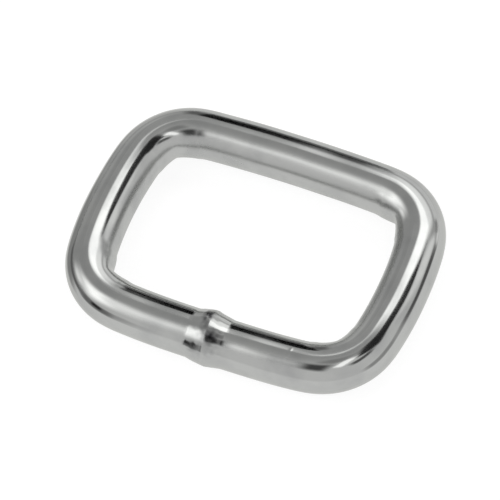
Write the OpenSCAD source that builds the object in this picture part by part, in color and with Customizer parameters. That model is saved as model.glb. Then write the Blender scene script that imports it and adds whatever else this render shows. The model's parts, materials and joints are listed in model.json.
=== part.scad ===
// Welded square ring for strapping: one length of round steel wire, bent round
// four corners into a rectangle and butt welded in the middle of one long side.
// It lies on z = 0 with the centre of its opening at x = y = 0. The long sides
// run along X, and the weld is in the one towards -Y. All sizes are in mm.

/* [Opening] */
// Clear length of the opening between the short sides, at their middle
opening_l = 26.2; // [22:0.1:32]
// Clear width of the opening between the long sides, at their middle
opening_w = 17.2; // [14:0.1:22]

/* [Wire] */
// Diameter of the round wire
wire_d = 5; // [3.5:0.1:6]
// Inside radius of the four corner bends
bend_inner_r = 3.2; // [2:0.1:5]

/* [Bow of the sides] */
// Angle that half of the long side without the weld turns through, in degrees
plain_bow = 3.3; // [1:0.1:6]
// Angle that each half of the welded side turns through beyond the weld
weld_bow = 4.6; // [1:0.1:7]
// Angle that half of a short side turns through
short_bow = 8.3; // [3:0.1:12]

/* [Weld] */
// Height of the upset collar above the wire
weld_rise = 0.32; // [0:0.02:0.5]
// Length of the collar along the wire
weld_l = 4; // [2:0.1:6]
// Distance of the collar's crest from the middle of its length, towards -X
weld_crest_shift = 0.3; // [0:0.05:0.8]

/* [Hidden] */
$fn = 96;

// Rings of the collar's profile from one end to its crest
collar_steps = 5;
// Size of the first of the two steps in which a piece is moved to its place
first_step = 0.01;
// Direction in degrees, from the centre of its bow, of the middle of a long side
long_heading = 90;
// Places in the list that quarter() returns
LONG_R = 0;
SHORT_R = 1;
BEND_CENTRE = 2;

wire_r = wire_d / 2;
bend_r = bend_inner_r + wire_r;
// The centreline's greatest distances from the middle of the opening
half_l = opening_l / 2 + wire_r;
half_w = opening_w / 2 + wire_r;
// Height of the centreline: the collar is what touches the surface below
axis_z = wire_r + weld_rise;

// Height of the collar above the wire at t, from -1 at its end, through 0 at its
// crest, to 1 at its other end: a cosine swell
function swell(t) = weld_rise * (1 + cos(180 * t)) / 2;

// Moves a piece in two steps, the second of which is very small, so that each
// arc of the wire ends exactly where the next one starts
module moved(offset) {
    whole = [for (v = offset) round(v / first_step) * first_step];
    translate(whole)
        translate(offset - whole)
            children();
}

// Wire bent about a centre in the ring's plane, from one heading to another
module bent_wire(centre, radius, from, to) {
    moved([centre[0], centre[1], axis_z])
        rotate_extrude(angle = to - from, start = from)
            moved([radius, 0])
                circle(d = wire_d);
}

// Radii and bend centre of the quarter of the ring at +X, +Y, whose long side
// bows by long_bow after a straight start. The long side's arc, the corner bend
// and the short side's arc touch one another, which settles both radii.
function quarter(straight, long_bow) =
    let (
        reach_l = half_l - bend_r - straight,
        reach_w = half_w - bend_r,
        dip_long = 1 - cos(long_bow),
        dip_short = 1 - cos(short_bow),
        spread = sin(long_bow) * sin(short_bow) - dip_long * dip_short,
        long_beyond = (reach_l * sin(short_bow) - reach_w * dip_short) / spread,
        short_beyond = (reach_w * sin(long_bow) - reach_l * dip_long) / spread
    )
    [bend_r + long_beyond, bend_r + short_beyond,
        [straight + long_beyond * sin(long_bow), short_beyond * sin(short_bow)]];

// The long side without the weld
module plain_side() {
    long_r = quarter(0, plain_bow)[LONG_R];
    bent_wire([0, half_w - long_r], long_r, long_heading - plain_bow, long_heading + plain_bow);
}

// Half of the welded long side, beyond its straight middle, at +X, +Y
module welded_half_side() {
    long_r = quarter(weld_l / 2, weld_bow)[LONG_R];
    bent_wire([weld_l / 2, half_w - long_r], long_r, long_heading - weld_bow, long_heading);
}

// A corner bend and half of the short side next to it, at +X, +Y
module corner(straight, long_bow) {
    sizes = quarter(straight, long_bow);
    short_r = sizes[SHORT_R];
    bent_wire(sizes[BEND_CENTRE], bend_r, short_bow, long_heading - long_bow);
    bent_wire([half_l - short_r, 0], short_r, 0, short_bow);
}

// The weld: the straight middle of its side, swollen into a collar all round
module weld_collar() {
    crest = weld_l / 2 - weld_crest_shift;
    rise = [for (i = [0 : collar_steps]) let (t = i / collar_steps)
        [wire_r + swell(1 - t), crest * t]];
    fall = [for (i = [1 : collar_steps]) let (t = i / collar_steps)
        [wire_r + swell(t), crest + (weld_l - crest) * t]];
    translate([-weld_l / 2, -half_w, axis_z])
        rotate([0, 90, 0])
            rotate_extrude()
                polygon(concat([[0, 0]], rise, fall, [[0, weld_l]]));
}

// One end of the ring, at +X, up to the weld
module ring_end() {
    corner(0, plain_bow);
    mirror([0, 1, 0]) {
        corner(weld_l / 2, weld_bow);
        welded_half_side();
    }
}

// The whole ring, which is one solid
module wire_ring() {
    color("silver") {
        plain_side();
        ring_end();
        mirror([1, 0, 0])
            ring_end();
        weld_collar();
    }
}

wire_ring();
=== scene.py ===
"""A welded square ring of bright nickel-plated steel wire, on a lit white table."""

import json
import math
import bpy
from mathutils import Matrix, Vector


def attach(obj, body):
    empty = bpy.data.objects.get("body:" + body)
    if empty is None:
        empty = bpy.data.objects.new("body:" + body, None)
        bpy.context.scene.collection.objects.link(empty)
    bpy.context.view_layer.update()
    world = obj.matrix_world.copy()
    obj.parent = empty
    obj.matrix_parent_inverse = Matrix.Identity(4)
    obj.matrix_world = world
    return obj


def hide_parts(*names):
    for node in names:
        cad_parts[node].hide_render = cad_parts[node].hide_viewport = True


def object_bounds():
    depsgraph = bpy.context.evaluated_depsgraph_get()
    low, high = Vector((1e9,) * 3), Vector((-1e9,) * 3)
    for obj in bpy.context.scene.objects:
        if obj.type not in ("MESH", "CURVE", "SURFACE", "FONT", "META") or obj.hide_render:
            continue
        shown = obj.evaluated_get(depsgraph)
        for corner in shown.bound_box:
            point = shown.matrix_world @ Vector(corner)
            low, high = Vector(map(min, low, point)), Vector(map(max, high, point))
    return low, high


bl_info = {
    "name": "Welded Square Ring",
    "version": (1, 0, 0),
    "blender": (4, 5, 0),
    "location": "View3D > Sidebar > Square Ring",
    "description": "Dresses a welded square ring for straps and sets it up in a small photo studio",
    "category": "Add Mesh",
}

import bpy
import numpy as np
from bpy.props import FloatProperty, FloatVectorProperty, IntProperty, PointerProperty
from mathutils import Matrix

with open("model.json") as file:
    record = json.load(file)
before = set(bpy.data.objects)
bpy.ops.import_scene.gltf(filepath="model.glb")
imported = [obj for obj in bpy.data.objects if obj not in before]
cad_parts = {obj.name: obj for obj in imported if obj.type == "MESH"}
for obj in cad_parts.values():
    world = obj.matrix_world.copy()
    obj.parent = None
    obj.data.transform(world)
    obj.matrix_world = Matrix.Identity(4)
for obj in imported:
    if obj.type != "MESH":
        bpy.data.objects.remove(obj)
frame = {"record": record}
cad_low, cad_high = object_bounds()

MM = 0.001
NODE = "wire_ring"
PIECE = "nickel_plated_ring"
WIRE_RADIUS = frame["record"]["mounts"][0]["dims"]["r_mm"] * MM

# The bends' creases, counter-clockwise from the one at +X, -Y: share of the full depth, and the
# deepest side in degrees from the outside upwards
CREASES = ((0.45, 195), (1, 207), (0.45, 200), (1.15, 192))
# The collar's two broad lumps: millimetres from the weld towards +X, degrees round the wire, then
# half length, half width and height in millimetres
WELD_LUMPS = ((-0.78, 117, 0.45, 0.7, 0.095), (0.9, 58, 1.2, 1.0, 0.08))
# Dark spots laid on the weld's colour at given places: the same four sizes, then its share
WELD_DARK_SPOTS = (
    (-0.45, 115, 0.45, 0.65, 1),
    (0.6, 67, 0.75, 0.62, 0.85),
    (-1.0, 32, 0.6, 0.45, 0.4),
    (0.7, 38, 1.1, 0.9, 0.14),
    (-0.4, 90, 0.35, 0.7, 0.4),
)
# How the collar's two slopes fall, as powers of the share of the slope
LEFT_SLOPE_POWER = 1.4
RIGHT_SLOPE_POWER = 1.05
# Angle round the wire of its inner, upper side, where the collar is highest
INNER_TOP = math.radians(150)
# Seed of the random waves, which are drawn in the order of the three rows below
SEED = 1
# Random waves: how many are summed, then the longest and the shortest in millimetres
COLLAR_LUMPS = (24, 2.0, 0.5)
DRAWN_WAVES = (12, 12, 4)
DARK_SPECKS = (16, 0.8, 0.35)
# The wire is unpolished where the cosine of its angle from straight inwards passes the first
# value, fully so once it has passed it by the second
UNPOLISHED_FROM = 0.5
UNPOLISHED_FADE = 0.3
# Values of the cloud noise between which the plate turns from bright to clouded
CLOUDS_FROM = 0.42
CLOUDS_TO = 0.7
# Names of the values that the ring's mesh hands to its material
UV_NAME = "along_and_round"
WELD_HEAT = "weld_heat"
WELD_DARKENING = "weld_darkening"
UNPOLISHED = "unpolished"
# The mesh is fine over this many half widths of the nick
NICK_ZONE = 4
# The mesh is spaced as in a bend where the wire has more than this share of a bend's curvature
BENT_SHARE = 0.5


def linear(hex_colour):
    """The linear RGB of an sRGB colour written as six hex digits."""
    srgb = np.array([int(hex_colour[i : i + 2], 16) for i in (0, 2, 4)]) / 255
    low = srgb / 12.92
    high = ((srgb + 0.055) / 1.055) ** 2.4
    return tuple(float(c) for c in np.where(srgb <= 0.04045, low, high))


def length(name, description, default, lowest=0):
    """A property that holds a length in metres, or a signed place if its lowest value is below 0."""
    return FloatProperty(
        name=name,
        description=description,
        default=default,
        min=lowest,
        unit="LENGTH",
        precision=5,
    )


def angle(name, description, degrees):
    """A property that holds an angle, given here in degrees."""
    return FloatProperty(
        name=name, description=description, default=math.radians(degrees), unit="ROTATION"
    )


def number(name, description, default):
    """A property that holds a plain number."""
    return FloatProperty(name=name, description=description, default=default, precision=3)


def colour(name, description, hex_colour):
    """A property that holds a linear colour, given here as sRGB hex."""
    return FloatVectorProperty(
        name=name,
        description=description,
        default=linear(hex_colour),
        subtype="COLOR",
        min=0,
        max=1,
    )


class RingSizes(bpy.types.PropertyGroup):
    """The bent wire, apart from its weld. The frame's box gives its overall sizes, and the bend
    radius and the bows repeat the solid's."""

    wire_radius: length("Wire radius", "Radius of the round wire", WIRE_RADIUS)
    half_length: length(
        "Half length", "Centreline's reach from the middle along X", cad_high.x - WIRE_RADIUS
    )
    half_width: length(
        "Half width", "Centreline's reach from the middle along Y", cad_high.y - WIRE_RADIUS
    )
    axis_height: length(
        "Axis height", "Height of the wire's centreline", (cad_low.z + cad_high.z) / 2
    )
    bend_radius: length("Bend radius", "Centreline radius of the corner bends", 5.7 * MM)
    plain_bow: angle("Plain bow", "Turn of half the long side without the weld", 3.3)
    weld_bow: angle("Weld bow", "Turn of each half of the welded side", 4.6)
    short_bow: angle("Short bow", "Turn of half a short side", 8.3)
    easing: length("Easing", "Length over which a side's bow turns into a bend", 1.2 * MM)
    inner_swell: length("Inner swell", "Most that a bend thickens on its inside", 0.13 * MM)
    outer_thinning: length("Outer thinning", "Most that a bend thins on its outside", 0.04 * MM)
    crease: length("Crease", "Depth of the crease that bending leaves inside a bend", 0.55 * MM)
    crease_reach: length("Crease reach", "Half length that leads into the crease", 3.1 * MM)
    crease_rounding: length("Crease rounding", "Half length of the rounded crease", 0.15 * MM)
    unevenness: length("Unevenness", "Height of the faint waves in the drawn wire", 0.008 * MM)


class WeldSizes(bpy.types.PropertyGroup):
    """The butt weld in the middle of the long side towards -Y. Places run along +X."""

    straight: length("Straight", "Half of the straight stretch that holds the weld", 2.0 * MM)
    crest_from: length("Crest from", "Where the collar's crest starts", -0.2 * MM, -1 * MM)
    crest_to: length("Crest to", "Where the collar's crest ends", 0.0, -1 * MM)
    rise: length("Rise", "Height of the upset collar above the wire", 0.32 * MM)
    lopsidedness: number("Lopsidedness", "Share of the rise moved to the inner, upper side", 0.12)
    left_flank: length("Left flank", "Length of the collar's slope on the -X side", 1.75 * MM)
    right_flank: length("Right flank", "Length of the collar's slope on the +X side", 1.8 * MM)
    step: length("Step", "How far the two ends miss each other sideways", 0.09 * MM)
    step_width: length("Step width", "Half length of the seam where they meet", 0.2 * MM)
    step_reach: length("Step reach", "Length over which each end runs back into line", 4.0 * MM)
    roughness: length("Roughness", "Height of the lumps on the collar", 0.008 * MM)
    # How much the weld's given dark spots vary from speck to speck
    speckle: number("Speckle", "How much the scale's darkness varies from speck to speck", 0.3)


class NickSizes(bpy.types.PropertyGroup):
    """The small nick on top of the welded side, which runs round the wire."""

    place: length("Place", "Distance from the middle of the welded side", 8.5 * MM)
    turn: angle("Turn", "Place round the wire, from the outside upwards", 85)
    slant: number("Slant", "Distance that it runs along the wire for each unit round it", 0.15)
    length: length("Length", "Half length of the nick", 0.45 * MM)
    width: length("Width", "Half width of the nick", 0.13 * MM)
    height: length("Height", "Height of its burr", 0.012 * MM)


class MeshDensity(bpy.types.PropertyGroup):
    """Spacing of the ring's mesh."""

    round_count: IntProperty(
        name="Round", description="Faces round the wire", default=96, min=12, max=160
    )
    weld_spacing: length("At the weld", "Length of a face along the weld", 0.07 * MM)
    bend_spacing: length("In a bend", "Length of a face along a bend", 0.14 * MM)
    side_spacing: length("Along a side", "Length of a face along a side", 0.26 * MM)


class PlateFinish(bpy.types.PropertyGroup):
    """Bright nickel plate on drawn steel wire."""

    plate: colour("Plate", "Colour of the nickel", "BDBEBC")
    edge_tint: colour("Edge tint", "Light that the plate keeps at a glancing angle", "F0F0EE")
    dull_plate: colour("Dull plate", "Colour of the nickel where it has clouded", "B0B1B0")
    # Colour of the dark spots laid on the weld at given places
    scale: colour("Scale", "Colour of the weld's scale under thin plate", "3C3C3E")
    roughness: number("Roughness", "Roughness of the bright plate", 0.09)
    dull_roughness: number("Dull roughness", "Roughness of clouded plate", 0.13)
    weld_roughness: number("Weld roughness", "Roughness added by the heat of the weld", 0.06)
    inner_roughness: number("Inner roughness", "Roughness added where nothing polished it", 0.16)
    cloud_size: length("Cloud size", "Size of the clouded patches", 4.0 * MM)
    # The die's real lines are finer than a pixel of the render, so these are drawn as coarse as
    # they need to be to show
    draw_line_spacing: length(
        "Draw line spacing", "Spacing of the lines that the drawing die leaves", 0.3 * MM
    )
    draw_line_length: length("Draw line length", "Length over which such a line fades", 14.0 * MM)
    draw_line_depth: length("Draw line depth", "Depth of such a line", 0.0014 * MM)


class StudioSizes(bpy.types.PropertyGroup):
    """The camera and the table. Azimuth 0 looks along +Y, and 90 along -X."""

    azimuth: angle("Azimuth", "Direction that the camera looks from", 29.63)
    elevation: angle("Elevation", "Height of the camera above the horizon", 57.7)
    roll: angle("Roll", "Turn of the picture", -7.73)
    distance: length("Distance", "Distance of the camera from the ring", 525.5 * MM)
    picture_width: length("Picture width", "Width of the picture at the ring", 49.53 * MM)
    offset_right: length(
        "Offset right", "Ring's place right of the picture's middle", 0.532 * MM, -20 * MM
    )
    offset_up: length(
        "Offset up", "Ring's place above the picture's middle", 0.079 * MM, -20 * MM
    )
    table_size: length("Table size", "Side of the white table", 3000 * MM)
    table: colour("Table", "Colour of the opal sheet", "929292")
    table_glow: number("Table glow", "Light that comes up through the opal sheet", 0.84)


def add_node(tree, kind, links=None, values=None, **settings):
    """Adds a node of this kind. settings are its own attributes; values and links map the name or
    number of an input to a value, and to the output socket that feeds it."""
    node = tree.nodes.new(kind)
    for name, value in settings.items():
        setattr(node, name, value)
    for name, value in (values or {}).items():
        node.inputs[name].default_value = value
    for name, socket in (links or {}).items():
        tree.links.new(socket, node.inputs[name])
    return node


def new_material(name):
    """An empty node material and its tree."""
    material = bpy.data.materials.new(name)
    material.use_nodes = True
    material.node_tree.nodes.clear()
    return material, material.node_tree


def quarter_radii(ring, straight, long_bow):
    """Centreline radii of the long and the short side in one quarter of the ring. The long side's
    arc, the bend and the short side's arc touch one another, which gives two linear equations."""
    reach_long = ring.half_length - ring.bend_radius - straight
    reach_short = ring.half_width - ring.bend_radius
    equations = [
        [math.sin(long_bow), 1 - math.cos(ring.short_bow)],
        [1 - math.cos(long_bow), math.sin(ring.short_bow)],
    ]
    beyond = np.linalg.solve(equations, [reach_long, reach_short])
    return ring.bend_radius + beyond


def stretches(ring, weld):
    """Lengths and curvatures of the wire's stretches, counter-clockwise from the middle of the
    welded side: each is a straight line or an arc."""
    weld_long, weld_short = quarter_radii(ring, weld.straight, ring.weld_bow)
    plain_long, plain_short = quarter_radii(ring, 0, ring.plain_bow)
    right_angle = math.pi / 2
    to_the_corner = [
        (weld.straight, 0),
        (weld_long * ring.weld_bow, 1 / weld_long),
        (ring.bend_radius * (right_angle - ring.weld_bow - ring.short_bow), 1 / ring.bend_radius),
        (weld_short * ring.short_bow, 1 / weld_short),
        (plain_short * ring.short_bow, 1 / plain_short),
        (ring.bend_radius * (right_angle - ring.plain_bow - ring.short_bow), 1 / ring.bend_radius),
        (plain_long * ring.plain_bow, 1 / plain_long),
    ]
    return np.array(to_the_corner + to_the_corner[::-1])


def smooth_step(t):
    """Rises from 0 at t = 0 to 1 at t = 1 along 3tt - 2ttt, and is flat outside."""
    t = np.clip(t, 0, 1)
    return t * t * (3 - 2 * t)


class Centreline:
    """The wire's centreline as arrays over its arc length, which starts at the weld."""

    # Steps in which the whole length is integrated
    FINE_COUNT = 24000

    def __init__(self, ring, weld):
        """Curvature is the sum of smoothed steps, heading is its integral and position is the
        integral of the heading; what is left open at the end is shared out evenly."""
        lengths, curvatures = stretches(ring, weld).T
        ends = np.cumsum(lengths)
        self.total = ends[-1]
        in_bend = np.isclose(curvatures, 1 / ring.bend_radius)
        self.bend_middles = (ends - lengths / 2)[in_bend]
        self.s = np.linspace(0, self.total, self.FINE_COUNT + 1)
        steps = np.diff(curvatures)[:, None]
        eased = smooth_step((self.s - ends[:-1, None]) / ring.easing + 0.5)
        self.curvature = curvatures[0] + (steps * eased).sum(axis=0)
        self.heading = self.integral(self.curvature)
        self.heading *= 2 * math.pi / self.heading[-1]
        x = self.integral(np.cos(self.heading))
        y = self.integral(np.sin(self.heading))
        share = self.s / self.total
        self.x = x - x[-1] * share
        self.y = y - y[-1] * share - ring.half_width

    def integral(self, values):
        """Running integral over arc length by the trapezium rule."""
        middles = (values[1:] + values[:-1]) / 2
        return np.concatenate([[0], np.cumsum(middles)]) * (self.s[1] - self.s[0])

    def sampled(self, spacing):
        """Arc lengths such that neighbours lie as far apart as spacing, an array over self.s."""
        rank = self.integral(1 / spacing)
        count = int(round(rank[-1]))
        return np.interp(np.arange(count) * rank[-1] / count, rank, self.s)

    def at(self, values, s):
        """Values over self.s, read off at s."""
        return np.interp(s, self.s, values)


def from_weld(s, total):
    """Signed arc length from the middle of the welded side, positive towards +X."""
    return (s + total / 2) % total - total / 2


def collar(x, weld):
    """Height of the upset collar at x: it is 1 along the crest, bulges down to the wire on the left
    as 1 - t ** LEFT_SLOPE_POWER, and runs out nearly as a cone on the right, as
    (1 - t) ** RIGHT_SLOPE_POWER, where t goes from 0 at the crest to 1 at the slope's foot."""
    left = np.clip((weld.crest_from - x) / weld.left_flank, 0, 1)
    right = np.clip((x - weld.crest_to) / weld.right_flank, 0, 1)
    return np.where(left > 0, 1 - left**LEFT_SLOPE_POWER, (1 - right) ** RIGHT_SLOPE_POWER)


def creases(s, phi, line, ring):
    """How deep the crease inside each bend is: (1 - t) ** 2 along the wire, where t is the distance
    from the middle of the bend over the crease's reach, so the bend's inside is nearly two straight
    lines, and the cube of the cosine round it, from the crease's deepest side."""
    depth = np.zeros(np.broadcast_shapes(s.shape, phi.shape))
    for middle, (share, turn) in zip(line.bend_middles, CREASES):
        distance = np.hypot(s - middle, ring.crease_rounding) - ring.crease_rounding
        along = (1 - np.clip(distance / ring.crease_reach, 0, 1)) ** 2
        depth += share * along * np.clip(np.cos(phi - math.radians(turn)), 0, 1) ** 3
    return depth


def bump(x, phi, place, turn, half_length, half_width, slant=0):
    """A smooth bump, 1 high: exp(-a * a - b * b), where a and b are the distances from its middle
    along the wire and round it, over half_length and half_width. slant moves it along the wire for
    each unit round it."""
    round_wire = (phi - turn) * WIRE_RADIUS
    along = (x - place - slant * round_wire) / half_length
    return np.exp(-(along**2) - (round_wire / half_width) ** 2)


def weld_patch(x, phi, place, turn, half_length, half_width):
    """A bump at the weld, with its sizes in millimetres and its place round the wire in degrees."""
    return bump(x, phi, place * MM, math.radians(turn), half_length * MM, half_width * MM)


def waves(s, phi, total, rng, count, longest, shortest):
    """A sum of sine waves that run over the wire's surface in random directions, scaled so that the
    mean of its square is 1. Their lengths lie between shortest and longest, in millimetres, and
    each wave closes round the wire and along the ring."""
    result = np.zeros(np.broadcast_shapes(s.shape, phi.shape))
    for _ in range(count):
        wavelength = rng.uniform(shortest * MM, longest * MM)
        heading = rng.uniform(0, 2 * math.pi)
        along = round(total / wavelength * math.cos(heading))
        turns = round(2 * math.pi * WIRE_RADIUS / wavelength * math.sin(heading))
        phase = rng.uniform(0, 2 * math.pi)
        result += np.sin(2 * math.pi * along * s / total + turns * phi + phase)
    return result * math.sqrt(2 / count)


def ring_surface(ring, weld, nick, density):
    """Points of the wire's surface on a grid: rows along the ring, columns round the wire from its
    underside outwards. A point is the centreline's, plus the local radius along the normal. That
    radius is the wire's, plus the collar and its lumps, the bends' swelling, the waves and the
    nick's burr, less the creases and the bends' thinning. The weld's step then moves the point
    sideways, by half the step times tanh(x / width) * exp(-|x| / reach)."""
    line = Centreline(ring, weld)
    bend_share = line.curvature * ring.bend_radius
    spacing = np.where(bend_share > BENT_SHARE, density.bend_spacing, density.side_spacing)
    x = from_weld(line.s, line.total)
    fine = (collar(x, weld) > 0) | (np.abs(x - nick.place) < NICK_ZONE * nick.width)
    s = line.sampled(np.where(fine, density.weld_spacing, spacing))[:, None]
    phi = np.linspace(-math.pi / 2, 3 * math.pi / 2, density.round_count, endpoint=False)[None, :]
    outwards, upwards = np.cos(phi), np.sin(phi)

    rng = np.random.default_rng(SEED)
    x = from_weld(s, line.total)
    swelling = collar(x, weld)
    towards_inner_top = np.cos(phi - INNER_TOP)
    lumps = waves(s, phi, line.total, rng, *COLLAR_LUMPS)
    radius = ring.wire_radius + weld.rise * swelling * (1 + weld.lopsidedness * towards_inner_top)
    radius = radius + weld.roughness * swelling * lumps
    for *patch, height in WELD_LUMPS:
        radius += height * MM * weld_patch(x, phi, *patch)
    bend = np.clip(line.at(bend_share, s), 0, 1)
    inside = np.clip(-outwards, 0, 1) ** 2
    radius += ring.inner_swell * bend * inside
    radius -= ring.crease * creases(s, phi, line, ring)
    radius -= ring.outer_thinning * bend * np.clip(outwards, 0, 1) ** 2
    radius += ring.unevenness * waves(s, phi, line.total, rng, *DRAWN_WAVES)
    burr = bump(x, phi, nick.place, nick.turn, nick.width, nick.length, nick.slant)
    radius += nick.height * burr

    side = np.tanh(x / weld.step_width) * np.exp(-np.abs(x) / weld.step_reach)
    sideways = radius * outwards + weld.step / 2 * side
    heading = line.at(line.heading, s)
    points = np.stack(
        [
            line.at(line.x, s) + sideways * np.sin(heading),
            line.at(line.y, s) - sideways * np.cos(heading),
            ring.axis_height + radius * upwards,
        ],
        axis=-1,
    )
    # How dark the weld's given dark spots are, varied speck by speck
    specks = waves(s, phi, line.total, rng, *DARK_SPECKS)
    scale = sum(share * weld_patch(x, phi, *patch) for *patch, share in WELD_DARK_SPOTS)
    unpolished = smooth_step((-outwards - UNPOLISHED_FROM) / UNPOLISHED_FADE)
    masks = {
        WELD_DARKENING: np.clip(scale * (1 + weld.speckle * specks), 0, 1),
        WELD_HEAT: np.broadcast_to(swelling, radius.shape),
        UNPOLISHED: np.broadcast_to(unpolished, radius.shape),
    }
    return points, s[:, 0], phi[0], line.total, masks


def closed_tube(name, points, s, phi, total, masks):
    """A mesh from a grid that closes both ways. A face's corners go round the wire first and then
    along the ring, which makes it point inwards, and that is a fault. The UV map holds the distance
    along the ring and round the wire, both as shares of the ring's whole length, and masks a value
    for each point."""
    rows, columns = points.shape[:2]
    row, column = np.meshgrid(np.arange(rows), np.arange(columns), indexing="ij")
    next_row, next_column = (row + 1) % rows, (column + 1) % columns
    corners = [(row, column), (row, next_column), (next_row, next_column), (next_row, column)]
    faces = np.stack([r * columns + c for r, c in corners], axis=-1).reshape(-1, 4)
    mesh = bpy.data.meshes.new(name)
    mesh.from_pydata(points.reshape(-1, 3).tolist(), [], faces.tolist())

    along = np.append(s, total) / total
    turn = phi[1] - phi[0]
    round_wire = np.append(phi, phi[-1] + turn) * WIRE_RADIUS / total
    round_wire -= round_wire[0]
    uv_corners = [(row, column), (row, column + 1), (row + 1, column + 1), (row + 1, column)]
    uv = np.stack([np.stack([along[r], round_wire[c]], axis=-1) for r, c in uv_corners], axis=-2)
    layer = mesh.uv_layers.new(name=UV_NAME)
    layer.data.foreach_set("uv", uv.astype(np.float32).ravel())
    for mask, values in masks.items():
        attribute = mesh.attributes.new(mask, "FLOAT", "POINT")
        attribute.data.foreach_set("value", values.astype(np.float32).ravel())
    mesh.polygons.foreach_set("use_smooth", np.ones(len(faces), bool))
    mesh.update()
    return mesh


def bright_nickel_plate(finish, total):
    """Electroplated nickel over drawn wire: a neutral mirror that a little roughness softens, with
    cloudier patches, and faint lines along the wire that the drawing die left under the plate. At
    the weld it is rougher, and its colour is darker in spots laid at given places. It is also
    rougher inside the ring, where the polishing wheel didn't reach."""
    material, tree = new_material("bright nickel plate")
    uv = add_node(tree, "ShaderNodeUVMap", uv_map=UV_NAME).outputs["UV"]
    per_cloud = total / finish.cloud_size
    cloud_place = add_node(
        tree,
        "ShaderNodeMapping",
        links={"Vector": uv},
        values={"Scale": (per_cloud, per_cloud, 1)},
    ).outputs["Vector"]
    clouds = add_node(
        tree,
        "ShaderNodeTexNoise",
        links={"Vector": cloud_place},
        values={"Scale": 1.0, "Detail": 3.0, "Roughness": 0.55},
    ).outputs["Fac"]
    cloudiness = add_node(
        tree,
        "ShaderNodeMapRange",
        links={"Value": clouds},
        values={"From Min": CLOUDS_FROM, "From Max": CLOUDS_TO},
    ).outputs["Result"]
    plate_colour = add_node(
        tree,
        "ShaderNodeMix",
        data_type="RGBA",
        links={"Factor": cloudiness},
        values={6: (*finish.plate, 1), 7: (*finish.dull_plate, 1)},
    ).outputs[2]
    # Darkens the plate's colour in the weld's given dark spots
    scale = add_node(tree, "ShaderNodeAttribute", attribute_name=WELD_DARKENING).outputs["Fac"]
    colour_at_weld = add_node(
        tree,
        "ShaderNodeMix",
        data_type="RGBA",
        links={"Factor": scale, 6: plate_colour},
        values={7: (*finish.scale, 1)},
    ).outputs[2]
    plate_roughness = add_node(
        tree,
        "ShaderNodeMapRange",
        links={"Value": cloudiness},
        values={"To Min": finish.roughness, "To Max": finish.dull_roughness},
    ).outputs["Result"]
    roughness = plate_roughness
    for mask, added in ((WELD_HEAT, finish.weld_roughness), (UNPOLISHED, finish.inner_roughness)):
        share = add_node(tree, "ShaderNodeAttribute", attribute_name=mask).outputs["Fac"]
        roughness = add_node(
            tree,
            "ShaderNodeMath",
            operation="MULTIPLY_ADD",
            links={0: share, 2: roughness},
            values={1: added},
        ).outputs["Value"]
    line_place = add_node(
        tree,
        "ShaderNodeMapping",
        links={"Vector": uv},
        values={"Scale": (total / finish.draw_line_length, total / finish.draw_line_spacing, 1)},
    ).outputs["Vector"]
    lines = add_node(
        tree,
        "ShaderNodeTexNoise",
        links={"Vector": line_place},
        values={"Scale": 1.0, "Detail": 2.0, "Roughness": 0.5},
    ).outputs["Fac"]
    bump = add_node(
        tree,
        "ShaderNodeBump",
        links={"Height": lines},
        values={"Strength": 1.0, "Distance": finish.draw_line_depth},
    ).outputs["Normal"]
    shader = add_node(
        tree,
        "ShaderNodeBsdfPrincipled",
        links={"Base Color": colour_at_weld, "Roughness": roughness, "Normal": bump},
        values={"Metallic": 1.0, "Specular Tint": (*finish.edge_tint, 1)},
    ).outputs["BSDF"]
    add_node(tree, "ShaderNodeOutputMaterial", links={"Surface": shader})
    return material


def opal_sheet(studio):
    """An opal acrylic sheet lit from below: matt white, with an even glow of its own that leaves
    only a faint shadow under what lies on it."""
    material, tree = new_material("lit opal sheet")
    shader = add_node(
        tree,
        "ShaderNodeBsdfPrincipled",
        values={
            "Base Color": (*studio.table, 1),
            "Roughness": 0.9,
            "Specular IOR Level": 0.2,
            "Emission Color": (1, 1, 1, 1),
            "Emission Strength": studio.table_glow,
        },
    ).outputs["BSDF"]
    add_node(tree, "ShaderNodeOutputMaterial", links={"Surface": shader})
    return material


def panel_cloth(name, glow, softness):
    """A softbox's front cloth, or a grey or black card with little glow or none, that fades out
    towards its edges over the share of its half width and half height that softness gives."""
    material, tree = new_material(name)
    uv = add_node(tree, "ShaderNodeTexCoord").outputs["UV"]
    axes = add_node(tree, "ShaderNodeSeparateXYZ", links={"Vector": uv})
    fades = []
    for axis in ("X", "Y"):
        centred = add_node(
            tree,
            "ShaderNodeMath",
            operation="SUBTRACT",
            links={0: axes.outputs[axis]},
            values={1: 0.5},
        ).outputs["Value"]
        distance = add_node(
            tree, "ShaderNodeMath", operation="ABSOLUTE", links={0: centred}
        ).outputs["Value"]
        fades.append(
            add_node(
                tree,
                "ShaderNodeMapRange",
                interpolation_type="SMOOTHSTEP",
                links={"Value": distance},
                values={"From Min": 0.5, "From Max": 0.5 - softness / 2},
            ).outputs["Result"]
        )
    cover = add_node(
        tree, "ShaderNodeMath", operation="MULTIPLY", links={0: fades[0], 1: fades[1]}
    ).outputs["Value"]
    clear = add_node(tree, "ShaderNodeBsdfTransparent").outputs["BSDF"]
    light = add_node(tree, "ShaderNodeEmission", values={"Strength": glow}).outputs["Emission"]
    cloth = add_node(
        tree, "ShaderNodeMixShader", links={"Fac": cover, 1: clear, 2: light}
    ).outputs["Shader"]
    add_node(tree, "ShaderNodeOutputMaterial", links={"Surface": cloth})
    return material


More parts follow.
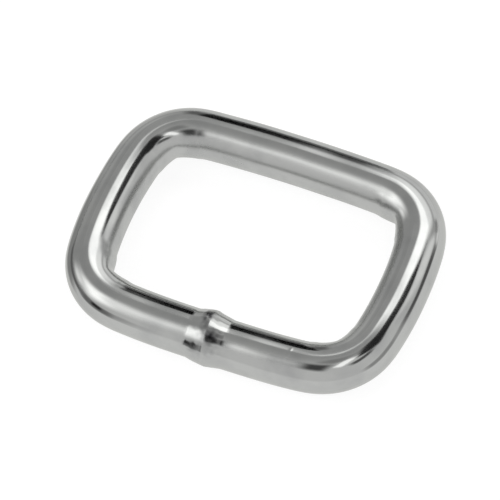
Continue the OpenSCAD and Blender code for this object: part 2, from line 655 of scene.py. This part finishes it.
# The studio's softboxes, reflectors and cards. Azimuth is from +Y towards +X, elevation is above the
# table and roll turns the panel in its own plane, all in degrees. Width and height are the angles
# under which the ring sees the panel, and distance is in millimetres. Glow is the panel's
# brightness, where the table's white is 1, and softness is the share of it that fades out.
PANEL_COLUMNS = (
    "name", "azimuth", "elevation", "roll", "distance", "width", "height", "glow", "softness",
)
PANELS = [
    ("left softbox", -122, 41.5, 45, 1800, 60, 58, 1.35, 0.7),
    ("left softbox bulb", -122, 44, 40, 1740, 42, 36, 1.9, 0.8),
    ("left softbox right side", -142, 55, 0, 1680, 38, 36, 1.35, 1.0),
    ("left softbox left side", -101, 24, 0, 1680, 34, 30, 1.3, 0.9),
    ("back softbox", 8, 41, 0, 1800, 54, 43, 1.35, 0.6),
    ("back softbox bulb", 4, 55, 0, 1740, 40, 24, 2.0, 0.5),
    ("back reflector", 10, 8, 0, 2100, 70, 34, 0.94, 0.6),
    ("back left reflector", -45, 16, 0, 2040, 56, 32, 0.6, 0.9),
    ("back right reflector", 47, 4, 0, 1980, 26, 16, 1.0, 0.8),
    ("right reflector", 51.5, 30, 0, 1800, 20, 40, 1.1, 0.7),
    ("back left grey card", -34.5, 39.5, 31, 1710, 26.5, 42, 0.48, 0.3),
    ("back black card", -17.7, 19.9, 11, 1680, 7.2, 36, 0.0, 0.15),
    ("back low card", -14.5, 13, 0, 1695, 9, 17, 0.25, 0.6),
    ("back dark card", -24, 17, 0, 1695, 12, 36, 0.18, 0.8),
    ("right black card", 58, 60.6, -12, 1500, 31.5, 31.5, 0.03, 0.35),
    ("right black card corner", 45, 48, 0, 1485, 15, 12, 0.03, 0.6),
    ("right black card edge", 40, 56, -64, 1470, 21.5, 11, 0.05, 0.5),
    ("overhead grey card", 90, 86, 0, 1620, 26, 24, 0.34, 0.7),
    ("right black strip", 101, 52, 0, 1500, 32, 14, 0.1, 0.6),
    ("lens rim", 122, 66.5, -42, 1320, 32, 11.5, 1.75, 0.5),
    ("lens surround", 176, 62, 0, 1350, 32, 42, 0.08, 0.7),
    ("front left card", -137, 1.5, 0, 1800, 54, 30, 0.22, 0.6),
    ("front left black card", -140, 5, 0, 1680, 17, 14, 0.03, 0.5),
    ("left horizon card", -95, 1.5, 0, 1860, 82, 19, 0.17, 0.8),
    ("left low card", -77, -13.5, 0, 1950, 74, 47, 0.38, 0.6),
    ("back left low card", -45, -8, 0, 1920, 50, 36, 0.66, 0.8),
    ("back right card", 37, 12, 0, 1800, 16, 18, 0.4, 0.6),
    ("right horizon card", 60, 6, 0, 1800, 25, 21, 0.12, 0.6),
    ("far right horizon card", 90, 2, 0, 1950, 60, 22, 0.4, 0.6),
]
# The light tent: the azimuth of its palest side in degrees, then its strength there, on the far
# side and below the table
TENT_PALE_AZIMUTH = 135
TENT_PALE = 1.0
TENT_DIM = 0.55
TENT_BELOW = 1.15
# Where the tent's strength changes: from the dim to the pale side, as cosines of the angle from
# the palest side, and from below to above the table, as sines of the elevation
TENT_SIDE_FADE = (-0.4, 0.5)
TENT_HORIZON_FADE = (-0.1, 0.05)


def direction(azimuth, elevation):
    """Unit vector at an azimuth from +Y towards +X and an elevation, in degrees."""
    a, e = math.radians(azimuth), math.radians(elevation)
    return np.array([math.sin(a) * math.cos(e), math.cos(a) * math.cos(e), math.sin(e)])


def studio_panel(name, azimuth, elevation, roll, distance, width, height, glow, softness):
    """A flat panel that faces the ring from the given direction. The camera doesn't see it; only
    its light and its reflection show."""
    outwards = direction(azimuth, elevation)
    level = direction(azimuth + 90, 0)
    upright = np.cross(level, outwards)
    turn = math.radians(roll)
    sideways = level * math.cos(turn) + upright * math.sin(turn)
    upwards = np.cross(sideways, outwards)
    half_width = distance * math.tan(math.radians(width / 2))
    half_height = distance * math.tan(math.radians(height / 2))
    corners = [
        outwards * distance + sideways * half_width * i + upwards * half_height * j
        for i, j in ((-1, -1), (1, -1), (1, 1), (-1, 1))
    ]
    mesh = bpy.data.meshes.new(name)
    mesh.from_pydata((np.array(corners) * MM).tolist(), [], [(0, 1, 2, 3)])
    mesh.uv_layers.new().data.foreach_set("uv", [0, 0, 1, 0, 1, 1, 0, 1])
    mesh.materials.append(panel_cloth(name, glow, softness))
    panel = bpy.data.objects.new(name.replace(" ", "_"), mesh)
    bpy.context.scene.collection.objects.link(panel)
    panel.visible_camera = False


def light_tent():
    """The tent's cloth round the studio: a world that above the table is palest towards the right
    and the front. Its even lower half is what the plate mirrors in the table's place."""
    world = bpy.data.worlds.new("light tent")
    world.use_nodes = True
    tree = world.node_tree
    tree.nodes.clear()
    towards = add_node(tree, "ShaderNodeTexCoord").outputs["Generated"]
    side = add_node(
        tree,
        "ShaderNodeVectorMath",
        operation="DOT_PRODUCT",
        links={0: towards},
        values={1: tuple(direction(TENT_PALE_AZIMUTH, 0))},
    ).outputs["Value"]
    upper = add_node(
        tree,
        "ShaderNodeMapRange",
        interpolation_type="SMOOTHSTEP",
        links={"Value": side},
        values={
            "From Min": TENT_SIDE_FADE[0],
            "From Max": TENT_SIDE_FADE[1],
            "To Min": TENT_DIM,
            "To Max": TENT_PALE,
        },
    ).outputs["Result"]
    height = add_node(tree, "ShaderNodeSeparateXYZ", links={"Vector": towards}).outputs["Z"]
    strength = add_node(
        tree,
        "ShaderNodeMapRange",
        interpolation_type="SMOOTHSTEP",
        links={"Value": height, "To Max": upper},
        values={
            "From Min": TENT_HORIZON_FADE[0],
            "From Max": TENT_HORIZON_FADE[1],
            "To Min": TENT_BELOW,
        },
    ).outputs["Result"]
    background = add_node(
        tree, "ShaderNodeBackground", links={"Strength": strength}
    ).outputs["Background"]
    add_node(tree, "ShaderNodeOutputWorld", links={"Surface": background})
    bpy.context.scene.world = world


class SQUARERING_OT_camera(bpy.types.Operator):
    """Set the camera at the angle from which the ring is shown"""

    bl_idname = "square_ring.camera"
    bl_label = "Camera"

    def execute(self, context):
        studio, ring = context.scene.studio_sizes, context.scene.ring_sizes
        a, e = studio.azimuth, studio.elevation
        back = np.array([math.sin(a) * math.cos(e), -math.cos(a) * math.cos(e), math.sin(e)])
        level = np.array([math.cos(a), math.sin(a), 0])
        upright = np.cross(back, level)
        right = level * math.cos(studio.roll) + upright * math.sin(studio.roll)
        up = np.cross(back, right)
        place = np.array([0, 0, ring.axis_height]) + back * studio.distance
        place -= right * studio.offset_right + up * studio.offset_up
        data = bpy.data.cameras.new("camera")
        data.lens = data.sensor_width * studio.distance / studio.picture_width
        data.clip_start = 10 * MM
        data.clip_end = studio.table_size
        camera = bpy.data.objects.new("camera", data)
        context.scene.collection.objects.link(camera)
        turn = np.eye(4)
        turn[:3, :3] = np.stack([right, up, back], axis=1)
        turn[:3, 3] = place
        camera.matrix_world = Matrix(turn.tolist())
        context.scene.camera = camera
        return {"FINISHED"}


class SQUARERING_OT_wire_ring(bpy.types.Operator):
    """Make the bent and welded wire with its nickel plate, in place of the plain solid"""

    bl_idname = "square_ring.wire_ring"
    bl_label = "Wire Ring"

    def execute(self, context):
        scene = context.scene
        surface = ring_surface(
            scene.ring_sizes, scene.weld_sizes, scene.nick_sizes, scene.mesh_density
        )
        mesh = closed_tube(PIECE, *surface)
        total = surface[3]
        mesh.materials.append(bright_nickel_plate(scene.plate_finish, total))
        piece = bpy.data.objects.new(PIECE, mesh)
        scene.collection.objects.link(piece)
        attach(piece, "root")
        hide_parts(NODE)
        return {"FINISHED"}


class SQUARERING_OT_stage(bpy.types.Operator):
    """Lay the white table and hang the light tent, its softboxes and its cards"""

    bl_idname = "square_ring.stage"
    bl_label = "Stage"

    def execute(self, context):
        studio = context.scene.studio_sizes
        half = studio.table_size / 2
        mesh = bpy.data.meshes.new("table")
        mesh.from_pydata(
            [(-half, -half, 0), (half, -half, 0), (half, half, 0), (-half, half, 0)],
            [],
            [(0, 1, 2, 3)],
        )
        mesh.materials.append(opal_sheet(studio))
        table = bpy.data.objects.new("table", mesh)
        context.scene.collection.objects.link(table)
        # The plate mirrors the tent's lower half in the table's place
        table.visible_glossy = False
        for row in PANELS:
            studio_panel(**dict(zip(PANEL_COLUMNS, row)))
        light_tent()
        context.scene.view_settings.view_transform = "Standard"
        return {"FINISHED"}


class SQUARERING_PT_panel(bpy.types.Panel):
    """The ring's sizes and its operators"""

    bl_idname = "SQUARERING_PT_panel"
    bl_label = "Square Ring"
    bl_space_type = "VIEW_3D"
    bl_region_type = "UI"
    bl_category = "Square Ring"

    def draw(self, context):
        for operator in OPERATORS:
            self.layout.operator(operator.bl_idname)
        for group_name, group in GROUPS.items():
            box = self.layout.box()
            box.label(text=group_name.replace("_", " "))
            for name in group.__annotations__:
                box.prop(getattr(context.scene, group_name), name)


GROUPS = {
    "ring_sizes": RingSizes,
    "weld_sizes": WeldSizes,
    "nick_sizes": NickSizes,
    "mesh_density": MeshDensity,
    "plate_finish": PlateFinish,
    "studio_sizes": StudioSizes,
}
OPERATORS = (SQUARERING_OT_camera, SQUARERING_OT_wire_ring, SQUARERING_OT_stage)


def register():
    """Register the groups of sizes, the operators and the panel."""
    for group_name, group in GROUPS.items():
        bpy.utils.register_class(group)
        setattr(bpy.types.Scene, group_name, PointerProperty(type=group))
    for cls in (*OPERATORS, SQUARERING_PT_panel):
        bpy.utils.register_class(cls)


def unregister():
    """Take back what register did."""
    for cls in (SQUARERING_PT_panel, *OPERATORS):
        bpy.utils.unregister_class(cls)
    for group_name, group in GROUPS.items():
        delattr(bpy.types.Scene, group_name)
        bpy.utils.unregister_class(group)


def main():
    register()
    bpy.ops.square_ring.camera()
    bpy.ops.square_ring.wire_ring()
    bpy.ops.square_ring.stage()


if __name__ == "__main__":
    main()
